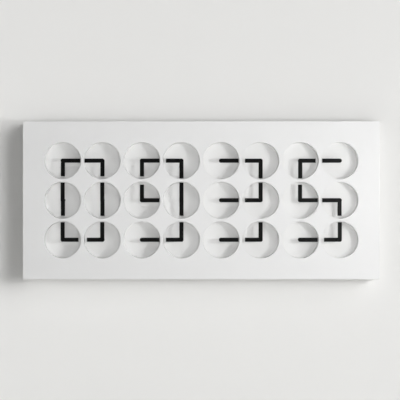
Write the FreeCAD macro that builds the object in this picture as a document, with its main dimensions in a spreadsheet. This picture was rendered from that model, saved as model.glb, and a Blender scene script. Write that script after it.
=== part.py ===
"""Wall clock whose twenty-four recessed dials each carry an hour hand and a minute hand.

The hands of six neighbouring dials together draw one large numeral, so the clock shows four.
Frame: origin on the wall, at the middle of the wall bracket's four screw holes.
+X is to the viewer's right, +Z is up and +Y points into the wall, so the face looks along -Y.
"""

import FreeCAD
import Part
import Sketcher
import os

Vector = FreeCAD.Vector
Rotation = FreeCAD.Rotation

SIZES = {
    # casing: one machined front with the dial wells bored right through
    "case_width": 1003.0,
    "case_height": 444.0,
    "case_depth": 51.0,
    "corner_radius": 1.5,
    "front_chamfer": 0.8,
    "rim_wall": 4.0,
    "ledge_wall": 6.5,
    "face_thickness": 3.0,
    # dials: eight columns and three rows on one square pitch
    "dial_pitch": 111.4,
    "dial_columns": 8,
    "dial_rows": 3,
    "well_radius": 52.0,
    "well_depth": 30.0,
    # plates
    "plate_thickness": 2.0,
    "plate_clearance": 0.5,
    "cover_thickness": 1.5,
    "cover_recess": 7.0,
    # hands, measured from the front face and from their own pivot
    "blade_width": 11.5,
    "blade_thickness": 1.2,
    "pivot_end_sides": 18,
    "arbor_sides": 12,
    "minute_reach": 49.7,
    "minute_below_face": 2.6,
    "hour_reach": 44.0,
    "hour_below_face": 8.0,
    "shaft_radius": 0.75,
    "tube_radius": 2.0,
    "running_clearance": 0.05,
    # movements
    "movement_width": 60.0,
    "movement_height": 46.0,
    "movement_thickness": 8.5,
    "spigot_side": 6.0,
    "spigot_proud": 1.5,
    "spigot_hole_side": 6.2,
    # circuit boards
    "board_thickness": 1.6,
    "board_gap": 3.0,
    "row_board_width": 800.0,
    "chip_side": 10.0,
    "chip_height": 1.2,
    "control_board_width": 110.0,
    "control_board_height": 38.0,
    "control_board_x": 350.0,
    "control_board_edge": 4.5,
    "board_cover_gap": 0.2,
    # power inlet and setting buttons, in the underside
    "inlet_x": 385.0,
    "inlet_width": 11.0,
    "inlet_body": 8.0,
    "inlet_length": 14.0,
    "inlet_bore_radius": 3.1,
    "inlet_bore_depth": 10.0,
    "inlet_pin_radius": 1.0,
    "inlet_pin_length": 9.0,
    "button_x": 310.0,
    "button_spacing": 16.0,
    "button_width": 7.0,
    "button_body": 5.0,
    "button_flange": 1.0,
    "button_flange_overhang": 1.0,
    "button_travel": 1.2,
    "switch_width": 6.0,
    "switch_height": 4.5,
    "cutout_clearance": 0.15,
    # spacers and screws
    "spacer_radius": 4.0,
    "spacer_dial_offset": 40.0,
    "board_spacer_radius": 3.0,
    "screw_head_radius": 3.2,
    "screw_head_height": 2.0,
    "screw_shank_radius": 1.5,
    "screw_shank_length": 6.0,
    "screw_hole_radius": 1.8,
    "screw_hole_sides": 12,
    # hook rail on the rear cover and the bracket that it hangs on
    "sheet": 1.5,
    "bend_radius": 0.75,
    "rail_width": 320.0,
    "bracket_width": 360.0,
    "bracket_height": 160.0,
    "bracket_corner_radius": 4.0,
    "bracket_lip_rise": 14.0,
    "bracket_lip_gap": 2.0,
    "hook_play": 0.3,
    "hook_drop": 11.0,
    "wall_hole_spacing_x": 300.0,
    "wall_hole_spacing_z": 120.0,
    "wall_hole_radius": 2.75,
}

# At rest the hands show 09:35. R, L, U and D are the way that a hand points.
MINUTE_HANDS = ("RLRDRDDL", "UURURURL", "UURURURU")
HOUR_HANDS = ("DDDLRLRL", "DDUDRLUD", "RLRLRLRL")
TURN_ABOUT_Y = {"R": 0.0, "U": -90.0, "L": 180.0, "D": 90.0}

doc = FreeCAD.newDocument("kinetic_clock")
sheet = doc.addObject("Spreadsheet::Sheet", "sizes")
for row, (alias, size) in enumerate(SIZES.items(), start=1):
    sheet.set(f"A{row}", alias)
    sheet.set(f"B{row}", str(size))
    sheet.setAlias(f"B{row}", alias)
doc.recompute()

FLOOR = "sizes.case_depth - sizes.well_depth"
PLATE_BACK = f"{FLOOR} - sizes.plate_thickness"
COVER_FRONT = "sizes.cover_recess + sizes.cover_thickness"
ELECTRONICS_Y = f"(({PLATE_BACK}) + ({COVER_FRONT}) + sizes.board_thickness + sizes.board_cover_gap) / 2"
SPACER_Z = "(sizes.dial_pitch + sizes.spacer_dial_offset)"
CONTROL_BOARD_BASE = "-sizes.case_height / 2 + sizes.control_board_edge"
HOOK_TOP = "(sizes.bracket_height / 2 + sizes.bracket_lip_rise)"
FIRST_DIAL = {
    "x": "-(sizes.dial_columns - 1) / 2 * sizes.dial_pitch",
    "y": "-(sizes.dial_rows - 1) / 2 * sizes.dial_pitch",
}
FIRST_COVER_SCREW = {"x": "-3 * sizes.dial_pitch", "y": f"-{SPACER_Z}"}


def bind(thing, **sizes):
    """Tie properties of an object to formulas on the sheet; a double underscore stands for a dot."""
    for name, formula in sizes.items():
        thing.setExpression(name.replace("__", "."), formula)


def new_body(label):
    body = doc.addObject("PartDesign::Body", label)
    body.Label = label
    body.AllowCompound = True
    return body


def origin_feature(body, role):
    return next(f for f in body.Origin.OriginFeatures if f.Role == role)


def attach(thing, body, role, **offset):
    """Lay a sketch or primitive on one of the body's origin planes, moved within it and off it."""
    thing.AttachmentSupport = [(origin_feature(body, role), "")]
    thing.MapMode = "FlatFace"
    for axis, formula in offset.items():
        thing.setExpression(f"AttachmentOffset.Base.{axis}", formula)
    return thing


def new_sketch(body, name, role="XZ_Plane", **offset):
    return attach(body.newObject("Sketcher::SketchObject", name), body, role, **offset)


def size_constraint(sketch, constraint, name, formula):
    index = sketch.addConstraint(constraint)
    sketch.renameConstraint(index, name)
    sketch.setExpression(f"Constraints.{name}", formula)


def draw_rectangle(sketch, name, width, height):
    """A rectangle about the sketch's origin."""
    first = sketch.GeometryCount
    corners = [Vector(-1, -1, 0), Vector(1, -1, 0), Vector(1, 1, 0), Vector(-1, 1, 0)]
    for i in range(4):
        sketch.addGeometry(Part.LineSegment(corners[i], corners[(i + 1) % 4]), False)
    for i in range(4):
        sketch.addConstraint(Sketcher.Constraint("Coincident", first + i, 2, first + (i + 1) % 4, 1))
        sketch.addConstraint(Sketcher.Constraint(("Horizontal", "Vertical")[i % 2], first + i))
    sketch.addConstraint(Sketcher.Constraint("Symmetric", first, 1, first + 1, 2, -1, 1))
    across = Sketcher.Constraint("DistanceX", first, 1, first, 2, 2.0)
    up = Sketcher.Constraint("DistanceY", first + 1, 1, first + 1, 2, 2.0)
    size_constraint(sketch, across, f"{name}_width", width)
    size_constraint(sketch, up, f"{name}_height", height)


def draw_circle(sketch, name, radius):
    """A circle about the sketch's origin."""
    circle = sketch.addGeometry(Part.Circle(Vector(0, 0, 0), Vector(0, 0, 1), 1.0), False)
    sketch.addConstraint(Sketcher.Constraint("Coincident", circle, 3, -1, 1))
    size_constraint(sketch, Sketcher.Constraint("Radius", circle, 1.0), f"{name}_radius", radius)


def draw_outline(sketch, corners):
    """A closed outline of straight edges, each corner held at two formulas across and up the sketch."""
    count = len(corners)
    start = [Vector(i + 1, (i * i) % 7 + 1, 0) for i in range(count)]
    for i in range(count):
        sketch.addGeometry(Part.LineSegment(start[i], start[(i + 1) % count]), False)
    for i in range(count):
        sketch.addConstraint(Sketcher.Constraint("Coincident", i, 2, (i + 1) % count, 1))
    for i, corner in enumerate(corners):
        across = Sketcher.Constraint("DistanceX", -1, 1, i, 1, start[i].x)
        up = Sketcher.Constraint("DistanceY", -1, 1, i, 1, start[i].y)
        size_constraint(sketch, across, f"corner_{i}_across", corner[0])
        size_constraint(sketch, up, f"corner_{i}_up", corner[1])


def pad(body, sketch, name, length, both_ways=False):
    feature = body.newObject("PartDesign::Pad", name)
    feature.Profile = sketch
    feature.setExpression("Length", length)
    feature.Midplane = both_ways
    return feature


def pocket(body, sketch, name, length):
    """Cut along the sketch's own normal: away from the wall on XZ_Plane, upwards on XY_Plane."""
    doc.recompute()
    before = body.Shape.Volume
    feature = body.newObject("PartDesign::Pocket", name)
    feature.Profile = sketch
    feature.Reversed = True
    feature.setExpression("Length", length)
    doc.recompute()
    if body.Shape.Volume >= before:
        raise RuntimeError(f"{body.Label}: {name} cut nothing")
    return feature


def repeat_on_grid(body, features, columns, column_pitch, rows, row_pitch):
    """Repeat features to the right and upwards from the lower left corner of a grid."""
    doc.recompute()
    name = features[0].Name
    grid = body.newObject("PartDesign::MultiTransform", f"{name}_grid")
    grid.Originals = list(features)
    steps = []
    for role, count, pitch in (("X_Axis", columns, column_pitch), ("Z_Axis", rows, row_pitch)):
        step = doc.addObject("PartDesign::LinearPattern", f"{name}_along_{role[0]}")
        body.addObject(step)
        step.Direction = (origin_feature(body, role), [""])
        step.Mode = "Spacing"
        bind(step, Offset=pitch, Occurrences=count)
        steps.append(step)
    grid.Transformations = steps
    body.Tip = grid
    doc.recompute()


def on_dials(body, *features):
    pitch = "sizes.dial_pitch"
    repeat_on_grid(body, features, "sizes.dial_columns", pitch, "sizes.dial_rows", pitch)


def on_cover_screws(body, *features):
    repeat_on_grid(body, features, "3", "3 * sizes.dial_pitch", "2", f"2 * {SPACER_Z}")


def across_flats_radius(radius, sides):
    """The corner radius of a regular outline whose flats touch a circle of the given radius."""
    return f"({radius}) / cos(180 deg / {sides})"


def prism(body, name, sides, corner_radius, length, cut=False, **offset):
    """A regular many-sided column standing off the wall, added to the body or cut out of it."""
    kind = "SubtractivePrism" if cut else "AdditivePrism"
    column = attach(body.newObject(f"PartDesign::{kind}", name), body, "XZ_Plane", **offset)
    bind(column, Polygon=sides, Circumradius=corner_radius, Height=length)
    return column


def runs_along_y(edge):
    return abs(edge.tangentAt(edge.FirstParameter).y) > 0.99


def edges_where(shape, test):
    return [f"Edge{i}" for i, edge in enumerate(shape.Edges, start=1) if test(edge)]


def round_edges(body, feature, name, test, radius):
    """Round the edges of a feature that pass a test."""
    doc.recompute()
    rounding = body.newObject("PartDesign::Fillet", name)
    rounding.Base = (feature, edges_where(feature.Shape, test))
    bind(rounding, Radius=radius)
    doc.recompute()
    return rounding


def round_bends(body, feature, profile, outside, inside):
    """Round the bends of a sheet profile, given as its corners outside and inside the bends."""
    doc.recompute()
    inner_radius = "sizes.bend_radius"
    outer_radius = "sizes.bend_radius + sizes.sheet"
    for side, corners, radius in (("outside", outside, outer_radius), ("inside", inside, inner_radius)):
        places = [profile.getPoint(corner, 1) for corner in corners]

        def on_a_bend(edge):
            return any(
                all(abs(v.Y - place.x) < 0.01 and abs(v.Z - place.y) < 0.01 for v in edge.Vertexes)
                for place in places
            )

        feature = round_edges(body, feature, f"{profile.Name}_bends_{side}", on_a_bend, radius)
    return feature


def box(name, x, y, z, width, depth, height):
    """A block given by its middle across X and by its lowest Y and Z."""
    block = doc.addObject("Part::Box", name)
    bind(block, Length=width, Width=depth, Height=height)
    bind(block, Placement__Base__x=f"{x} - ({width}) / 2", Placement__Base__y=y, Placement__Base__z=z)
    return block


def group(label, pieces):
    compound = doc.addObject("Part::Compound", label)
    compound.Label = label
    compound.Links = pieces
    return compound


def casing_frame():
    """The casing round its dials: rim walls, a ledge for the plate and a thin face over a channel."""
    body = new_body("casing_frame")
    outline = new_sketch(body, "casing_outline")
    draw_rectangle(outline, "outline", "sizes.case_width", "sizes.case_height")
    slab = pad(body, outline, "casing_slab", "sizes.case_depth")
    corners = round_edges(body, slab, "casing_corners", runs_along_y, "sizes.corner_radius")

    chamfer = body.newObject("PartDesign::Chamfer", "casing_front_edge")
    front_y = -SIZES["case_depth"]
    front = edges_where(corners.Shape, lambda e: all(abs(v.Y - front_y) < 0.01 for v in e.Vertexes))
    chamfer.Base = (corners, front)
    bind(chamfer, Size="sizes.front_chamfer")
    doc.recompute()

    tray = new_sketch(body, "rear_tray_outline")
    draw_rectangle(
        tray, "tray", "sizes.case_width - 2 * sizes.rim_wall", "sizes.case_height - 2 * sizes.rim_wall"
    )
    pocket(body, tray, "rear_tray", FLOOR)

    channel = new_sketch(body, "channel_outline")
    draw_rectangle(
        channel,
        "channel",
        "sizes.case_width - 2 * sizes.ledge_wall",
        "sizes.case_height - 2 * sizes.ledge_wall",
    )
    pocket(body, channel, "hollow_channel", "sizes.case_depth - sizes.face_thickness")

    block = new_sketch(body, "dial_block_outline")
    draw_rectangle(
        block, "block", "sizes.dial_columns * sizes.dial_pitch", "sizes.dial_rows * sizes.dial_pitch"
    )
    pocket(body, block, "dial_block_seat", "sizes.case_depth")

    cutouts = [("inlet", "sizes.inlet_x", "sizes.inlet_width", "sizes.inlet_body")]
    for i in range(3):
        button_x = f"sizes.button_x + {i} * sizes.button_spacing"
        cutouts.append((f"button_{i}", button_x, "sizes.button_width", "sizes.button_body"))
    for name, x, width, depth in cutouts:
        place = {"x": x, "y": f"-({ELECTRONICS_Y})", "z": "-sizes.case_height / 2"}
        cutout = new_sketch(body, f"{name}_cutout_outline", "XY_Plane", **place)
        draw_rectangle(
            cutout,
            "cutout",
            f"{width} + 2 * sizes.cutout_clearance",
            f"{depth} + 2 * sizes.cutout_clearance",
        )
        pocket(body, cutout, f"{name}_cutout", "sizes.rim_wall")
    return body


def dial_cell(row, column):
    """One square of the casing's thick middle, with its dial well bored right through."""
    middle = {
        "x": f"({column} - (sizes.dial_columns - 1) / 2) * sizes.dial_pitch",
        "z": f"((sizes.dial_rows - 1) / 2 - {row}) * sizes.dial_pitch",
    }
    name = f"row{row + 1}_col{column + 1}"
    cell = doc.addObject("Part::Cut", f"dial_cell_{name}")
    cell.Base = box(
        f"dial_square_{name}",
        middle["x"],
        "-sizes.case_depth",
        f"{middle['z']} - sizes.dial_pitch / 2",
        "sizes.dial_pitch",
        "sizes.well_depth",
        "sizes.dial_pitch",
    )
    well = doc.addObject("Part::Cylinder", f"dial_well_{name}")
    well.Placement.Rotation = Rotation(Vector(1, 0, 0), -90)
    bind(well, Radius="sizes.well_radius", Height="sizes.well_depth")
    bind(well, Placement__Base__x=middle["x"], Placement__Base__z=middle["z"])
    bind(well, Placement__Base__y="-sizes.case_depth")
    cell.Tool = well
    return cell


def front_casing():
    """Casing, one machined piece on the clock, drawn as its frame and a square cell for each dial."""
    pieces = [casing_frame()]
    for row in range(SIZES["dial_rows"]):
        for column in range(SIZES["dial_columns"]):
            pieces.append(dial_cell(row, column))
    return group("front_casing", pieces)


def chassis_plate():
    """White sheet whose front closes all the wells and whose back carries the movements."""
    body = new_body("chassis_plate")
    outline = new_sketch(body, "plate_outline", z=PLATE_BACK)
    draw_rectangle(
        outline,
        "plate",
        "sizes.case_width - 2 * (sizes.rim_wall + sizes.plate_clearance)",
        "sizes.case_height - 2 * (sizes.rim_wall + sizes.plate_clearance)",
    )
    pad(body, outline, "plate", "sizes.plate_thickness")
    hole = new_sketch(body, "spigot_hole_outline", z=PLATE_BACK, **FIRST_DIAL)
    draw_rectangle(hole, "hole", "sizes.spigot_hole_side", "sizes.spigot_hole_side")
    on_dials(body, pocket(body, hole, "spigot_hole", "sizes.plate_thickness"))
    return body


def movement_cases():
    """One flat geared twin-motor case behind each dial, its square spigot keyed through the plate."""
    body = new_body("movement_cases")
    outline = new_sketch(
        body, "movement_outline", z=f"{PLATE_BACK} - sizes.movement_thickness", **FIRST_DIAL
    )
    draw_rectangle(outline, "case", "sizes.movement_width", "sizes.movement_height")
    case = pad(body, outline, "movement_case", "sizes.movement_thickness")
    spigot_outline = new_sketch(body, "spigot_outline", z=PLATE_BACK, **FIRST_DIAL)
    draw_rectangle(spigot_outline, "spigot", "sizes.spigot_side", "sizes.spigot_side")
    spigot = pad(body, spigot_outline, "spigot", "sizes.plate_thickness + sizes.spigot_proud")
    on_dials(body, case, spigot)
    return body


def hand(label, reach, below_face, arbor_radius, turn, x, z, bore_radius=None):
    """A blade with a rounded pivot end on its own arbor, modelled pointing along +X about the Y axis.

    The pivot end and the arbors are round on the clock. There are forty-eight of them, so here they
    are many-sided prisms, and a bore's flats stay clear of the corners of the shaft inside it.
    """
    body = new_body(label)
    blade_front = f"sizes.case_depth - {below_face}"
    blade_back = f"{blade_front} - sizes.blade_thickness"
    arbor_end = f"{FLOOR} + sizes.spigot_proud + sizes.running_clearance"

    blade = body.newObject("PartDesign::AdditiveBox", f"{label}_blade")
    bind(blade, Length=reach, Width="sizes.blade_thickness", Height="sizes.blade_width")
    bind(blade, Placement__Base__y=f"-({blade_front})", Placement__Base__z="-sizes.blade_width / 2")

    prism(
        body,
        f"{label}_pivot_end",
        "sizes.pivot_end_sides",
        across_flats_radius("sizes.blade_width / 2", "sizes.pivot_end_sides"),
        "sizes.blade_thickness",
        z=blade_back,
    )
    prism(
        body,
        f"{label}_arbor",
        "sizes.arbor_sides",
        arbor_radius,
        f"{blade_back} - ({arbor_end})",
        z=arbor_end,
    )
    if bore_radius:
        prism(
            body,
            f"{label}_bore",
            "sizes.arbor_sides",
            across_flats_radius(bore_radius, "sizes.arbor_sides"),
            f"{blade_front} - ({arbor_end})",
            cut=True,
            z=arbor_end,
        )
    body.Placement = FreeCAD.Placement(Vector(x, 0, z), Rotation(Vector(0, 1, 0), turn))
    return body


def hands():
    """Each dial's long minute hand turns in front, its shaft running inside the short hour hand's tube."""
    bodies = []
    for row in range(SIZES["dial_rows"]):
        for column in range(SIZES["dial_columns"]):
            place = f"row{row + 1}_col{column + 1}"
            x = (column - (SIZES["dial_columns"] - 1) / 2) * SIZES["dial_pitch"]
            z = ((SIZES["dial_rows"] - 1) / 2 - row) * SIZES["dial_pitch"]
            minute_hand = hand(
                f"minute_hand_{place}",
                "sizes.minute_reach",
                "sizes.minute_below_face",
                "sizes.shaft_radius",
                TURN_ABOUT_Y[MINUTE_HANDS[row][column]],
                x,
                z,
            )
            hour_hand = hand(
                f"hour_hand_{place}",
                "sizes.hour_reach",
                "sizes.hour_below_face",
                "sizes.tube_radius",
                TURN_ABOUT_Y[HOUR_HANDS[row][column]],
                x,
                z,
                bore_radius="sizes.shaft_radius + sizes.running_clearance",
            )
            bodies += [minute_hand, hour_hand]
    return bodies


def circuit_boards():
    """Two boards between the three rows of movements, and the control board with its switches."""
    pieces = []
    board_front = f"-({PLATE_BACK} - sizes.board_gap)"
    board_back = f"{board_front} + sizes.board_thickness"
    row_board_height = "(sizes.dial_pitch - sizes.movement_height)"
    for side, name in ((1, "upper"), (-1, "lower")):
        middle = f"{side} * sizes.dial_pitch / 2"
        pieces.append(
            box(
                f"{name}_row_board",
                "0",
                board_front,
                f"{middle} - {row_board_height} / 2",
                "sizes.row_board_width",
                "sizes.board_thickness",
                row_board_height,
            )
        )
        for i in (-3, -1, 1, 3):
            pieces.append(
                box(
                    f"{name}_driver_chip",
                    f"{i} * sizes.dial_pitch + sizes.dial_pitch / 4",
                    board_back,
                    f"{middle} - sizes.chip_side / 2",
                    "sizes.chip_side",
                    "sizes.chip_height",
                    "sizes.chip_side",
                )
            )
    control_front = f"-({COVER_FRONT} + sizes.board_cover_gap + sizes.board_thickness)"
    pieces.append(
        box(
            "control_board",
            "sizes.control_board_x",
            control_front,
            CONTROL_BOARD_BASE,
            "sizes.control_board_width",
            "sizes.board_thickness",
            "sizes.control_board_height",
        )
    )
    switch_base = (
        "-sizes.case_height / 2 + sizes.rim_wall + sizes.button_flange"
        " + sizes.button_travel + 2 * sizes.cutout_clearance"
    )
    for i in range(3):
        pieces.append(
            box(
                f"button_switch_{i}",
                f"sizes.button_x + {i} * sizes.button_spacing",
                f"-({ELECTRONICS_Y}) - sizes.switch_width / 2",
                switch_base,
                "sizes.switch_width",
                f"{control_front} + ({ELECTRONICS_Y}) + sizes.switch_width / 2",
                "sizes.switch_height",
            )
        )
    return group("circuit_boards", pieces)


def hex_spacers():
    """Six-sided spacers: six between the plate and the rear cover, the rest under the boards."""
    body = new_body("hex_spacers")
    cover_spacer = prism(
        body,
        "cover_spacer",
        "6",
        "sizes.spacer_radius",
        f"{PLATE_BACK} - ({COVER_FRONT})",
        z=COVER_FRONT,
        **FIRST_COVER_SCREW,
    )
    on_cover_screws(body, cover_spacer)
    board_spacer = prism(
        body,
        "board_spacer",
        "6",
        "sizes.board_spacer_radius",
        "sizes.board_gap",
        x="-3 * sizes.dial_pitch",
        y="-sizes.dial_pitch / 2",
        z=f"{PLATE_BACK} - sizes.board_gap",
    )
    repeat_on_grid(body, [board_spacer], "2", "6 * sizes.dial_pitch", "2", "sizes.dial_pitch")
    control_back = f"{COVER_FRONT} + sizes.board_cover_gap + sizes.board_thickness"
    inset = "2 * sizes.board_spacer_radius"
    for side in (-1, 1):
        prism(
            body,
            "control_board_spacer",
            "6",
            "sizes.board_spacer_radius",
            f"{PLATE_BACK} - ({control_back})",
            x=f"sizes.control_board_x + {side} * (sizes.control_board_width / 2 - {inset})",
            y=f"{CONTROL_BOARD_BASE} + sizes.control_board_height - {inset}",
            z=control_back,
        )
    return body


def cover_screws():
    """Hexagon-headed screws through the rear cover into the six long spacers."""
    body = new_body("cover_screws")
    head = prism(
        body,
        "screw_head",
        "6",
        "sizes.screw_head_radius",
        "sizes.screw_head_height",
        z="sizes.cover_recess - sizes.screw_head_height",
        **FIRST_COVER_SCREW,
    )
    on_cover_screws(body, head)
    shank = prism(
        body,
        "screw_shank",
        "6",
        "sizes.screw_shank_radius",
        "sizes.screw_shank_length",
        z="sizes.cover_recess",
        **FIRST_COVER_SCREW,
    )
    on_cover_screws(body, shank)
    return body


def rear_cover():
    """Sheet cover set back from the wall, with the hook rail that hangs on the bracket's lip."""
    body = new_body("rear_cover")
    outline = new_sketch(body, "cover_outline", z="sizes.cover_recess")
    draw_rectangle(
        outline,
        "cover",
        "sizes.case_width - 2 * (sizes.rim_wall + sizes.plate_clearance)",
        "sizes.case_height - 2 * (sizes.rim_wall + sizes.plate_clearance)",
    )
    pad(body, outline, "cover", "sizes.cover_thickness")

    screw_hole = prism(
        body,
        "screw_hole",
        "sizes.screw_hole_sides",
        "sizes.screw_hole_radius",
        "sizes.cover_thickness",
        cut=True,
        z="sizes.cover_recess",
        **FIRST_COVER_SCREW,
    )
    on_cover_screws(body, screw_hole)

    profile = new_sketch(body, "hook_rail_profile", "YZ_Plane")
    tongue_back = "-(sizes.sheet + sizes.hook_play)"
    tongue_front = f"{tongue_back} - sizes.sheet"
    draw_outline(
        profile,
        [
            ("-sizes.cover_recess", HOOK_TOP),
            ("-sizes.cover_recess", f"{HOOK_TOP} + sizes.sheet"),
            (tongue_back, f"{HOOK_TOP} + sizes.sheet"),
            (tongue_back, f"{HOOK_TOP} - sizes.hook_drop"),
            (tongue_front, f"{HOOK_TOP} - sizes.hook_drop"),
            (tongue_front, HOOK_TOP),
        ],
    )
    rail = pad(body, profile, "hook_rail", "sizes.rail_width", both_ways=True)
    round_bends(body, rail, profile, outside=[2], inside=[5])
    return body


def wall_bracket():
    """Bent sheet bracket: a plate on the wall whose top edge steps forward into an upright lip."""
    body = new_body("wall_bracket")
    plate_top = "(sizes.bracket_height / 2)"
    lip_back = "-(2 * sizes.sheet + sizes.bracket_lip_gap / 2 + sizes.hook_play)"
    lip_front = f"{lip_back} - sizes.sheet"
    profile = new_sketch(body, "bracket_profile", "YZ_Plane")
    draw_outline(
        profile,
        [
            ("0", f"-{plate_top}"),
            ("0", plate_top),
            (lip_back, plate_top),
            (lip_back, HOOK_TOP),
            (lip_front, HOOK_TOP),
            (lip_front, f"{plate_top} - sizes.sheet"),
            ("-sizes.sheet", f"{plate_top} - sizes.sheet"),
            ("-sizes.sheet", f"-{plate_top}"),
        ],
    )
    bracket = pad(body, profile, "bracket", "sizes.bracket_width", both_ways=True)
    bracket = round_bends(body, bracket, profile, outside=[1, 5], inside=[2, 6])
    ends_z = (-SIZES["bracket_height"] / 2, SIZES["bracket_height"] / 2 + SIZES["bracket_lip_rise"])
    round_edges(
        body,
        bracket,
        "bracket_corners",
        lambda edge: runs_along_y(edge) and any(abs(edge.Vertexes[0].Z - z) < 0.01 for z in ends_z),
        "sizes.bracket_corner_radius",
    )
    hole = new_sketch(
        body, "wall_hole_outline", x="-sizes.wall_hole_spacing_x / 2", y="-sizes.wall_hole_spacing_z / 2"
    )
    draw_circle(hole, "hole", "sizes.wall_hole_radius")
    wall_hole = pocket(body, hole, "wall_hole", "sizes.sheet")
    repeat_on_grid(body, [wall_hole], "2", "sizes.wall_hole_spacing_x", "2", "sizes.wall_hole_spacing_z")
    return body


def power_inlet():
    """Low-voltage barrel socket, flush with the underside and opening downwards."""
    body = new_body("power_inlet")
    place = {"x": "sizes.inlet_x", "y": f"-({ELECTRONICS_Y})", "z": "-sizes.case_height / 2"}
    outline = new_sketch(body, "inlet_outline", "XY_Plane", **place)
    draw_rectangle(outline, "inlet", "sizes.inlet_width", "sizes.inlet_body")
    pad(body, outline, "inlet", "sizes.inlet_length")
    bore = new_sketch(body, "inlet_bore_outline", "XY_Plane", **place)
    draw_circle(bore, "bore", "sizes.inlet_bore_radius")
    pocket(body, bore, "inlet_bore", "sizes.inlet_bore_depth")
    tip = f"{place['z']} + sizes.inlet_bore_depth - sizes.inlet_pin_length"
    pin = attach(
        body.newObject("PartDesign::AdditiveCylinder", "inlet_pin"),
        body,
        "XY_Plane",
        x=place["x"],
        y=place["y"],
        z=tip,
    )
    bind(pin, Radius="sizes.inlet_pin_radius", Height="sizes.inlet_pin_length")
    return body


def setting_buttons():
    """Three push buttons flush with the underside, each kept in by a flange above the casing wall."""
    bodies = []
    for i, label in enumerate(("mode_button", "minus_button", "plus_button")):
        body = new_body(label)
        place = {
            "x": f"sizes.button_x + {i} * sizes.button_spacing",
            "y": f"-({ELECTRONICS_Y})",
        }
        underside = "-sizes.case_height / 2"
        flange_base = f"{underside} + sizes.rim_wall + sizes.cutout_clearance"
        cap = new_sketch(body, f"{label}_cap_outline", "XY_Plane", z=underside, **place)
        draw_rectangle(cap, "cap", "sizes.button_width", "sizes.button_body")
        pad(body, cap, f"{label}_cap", "sizes.rim_wall + sizes.cutout_clearance")
        flange = new_sketch(body, f"{label}_flange_outline", "XY_Plane", z=flange_base, **place)
        draw_rectangle(
            flange,
            "flange",
            "sizes.button_width + 2 * sizes.button_flange_overhang",
            "sizes.button_body + 2 * sizes.button_flange_overhang",
        )
        pad(body, flange, f"{label}_flange", "sizes.button_flange")
        bodies.append(body)
    return bodies


sub_parts = [
    front_casing(),
    chassis_plate(),
    movement_cases(),
    *hands(),
    circuit_boards(),
    hex_spacers(),
    cover_screws(),
    rear_cover(),
    wall_bracket(),
    power_inlet(),
    *setting_buttons(),
]
doc.recompute()

for thing in doc.Objects:
    if "Invalid" in thing.State or "Error" in thing.State:
        raise RuntimeError(f"{thing.Label} failed: {thing.State}")
for part in sub_parts:
    if part.Shape.isNull() or not part.Shape.isValid() or not part.Shape.Solids:
        raise RuntimeError(f"{part.Label} has no valid shape")

os.makedirs("parts", exist_ok=True)
for part in sub_parts:
    part.Shape.exportStep(f"parts/{part.Label}.step")
    print(part.Label, len(part.Shape.Solids), "solids", round(part.Shape.Volume / 1000, 2), "cm3")
print(len(sub_parts), "sub-parts")
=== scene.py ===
"""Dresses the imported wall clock: coated casing with its dial wells, lacquered hands, movement collars,
back hardware, socket and buttons, with the pale wall that it hangs on."""

import bmesh
import bpy
import math
from mathutils import Matrix, Vector


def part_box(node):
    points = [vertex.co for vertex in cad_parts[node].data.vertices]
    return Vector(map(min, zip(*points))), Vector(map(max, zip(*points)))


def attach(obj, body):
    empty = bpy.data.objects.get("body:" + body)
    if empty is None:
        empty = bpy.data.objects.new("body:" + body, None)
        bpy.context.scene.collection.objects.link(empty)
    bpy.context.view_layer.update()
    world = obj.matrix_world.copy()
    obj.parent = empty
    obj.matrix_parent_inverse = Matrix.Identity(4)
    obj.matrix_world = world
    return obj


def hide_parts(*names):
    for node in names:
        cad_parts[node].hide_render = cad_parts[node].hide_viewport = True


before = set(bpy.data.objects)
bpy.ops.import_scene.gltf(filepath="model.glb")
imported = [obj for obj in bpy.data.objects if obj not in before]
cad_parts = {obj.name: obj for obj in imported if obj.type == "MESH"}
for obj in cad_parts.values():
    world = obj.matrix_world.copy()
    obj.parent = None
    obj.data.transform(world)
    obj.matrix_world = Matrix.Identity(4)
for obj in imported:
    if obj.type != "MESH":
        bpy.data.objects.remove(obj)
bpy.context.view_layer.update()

# Sizes in metres, in the frame of the solids: the face looks along -Y and the wall is at Y = 0
COLUMNS = 8
ROWS = 3
PITCH = 0.1114
CASE_LOW, CASE_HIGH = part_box("front_casing")
FACE_Y = CASE_LOW[1]
FLOOR_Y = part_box("chassis_plate")[0][1]
HALF_WIDTH = CASE_HIGH[0]
HALF_HEIGHT = CASE_HIGH[2]

DIALS = [
    (f"row{row + 1}_col{column + 1}", (column - (COLUMNS - 1) / 2) * PITCH, ((ROWS - 1) / 2 - row) * PITCH)
    for row in range(ROWS)
    for column in range(COLUMNS)
]

# Mesh helpers
CREASE_ANGLE = math.radians(35.0)
MERGE_DISTANCE = 2e-6
ROUND_STEPS = 3
ROUND_MIDDLE = 0.3


def new_object(name, mesh):
    thing = bpy.data.objects.new(name, mesh)
    bpy.context.scene.collection.objects.link(thing)
    return thing


def plain_mesh(thing):
    """Put what the modifiers make into the object's own mesh and take the modifiers away."""
    evaluated = thing.evaluated_get(bpy.context.evaluated_depsgraph_get())
    mesh = bpy.data.meshes.new_from_object(evaluated)
    mesh.name = thing.name
    thing.modifiers.clear()
    thing.data = mesh


def even_shading(thing):
    """Weight the shading by face size, so that flat faces stay flat beside narrow rounds."""
    weighted = thing.modifiers.new("even_shading", "WEIGHTED_NORMAL")
    weighted.keep_sharp = True
    plain_mesh(thing)


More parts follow.
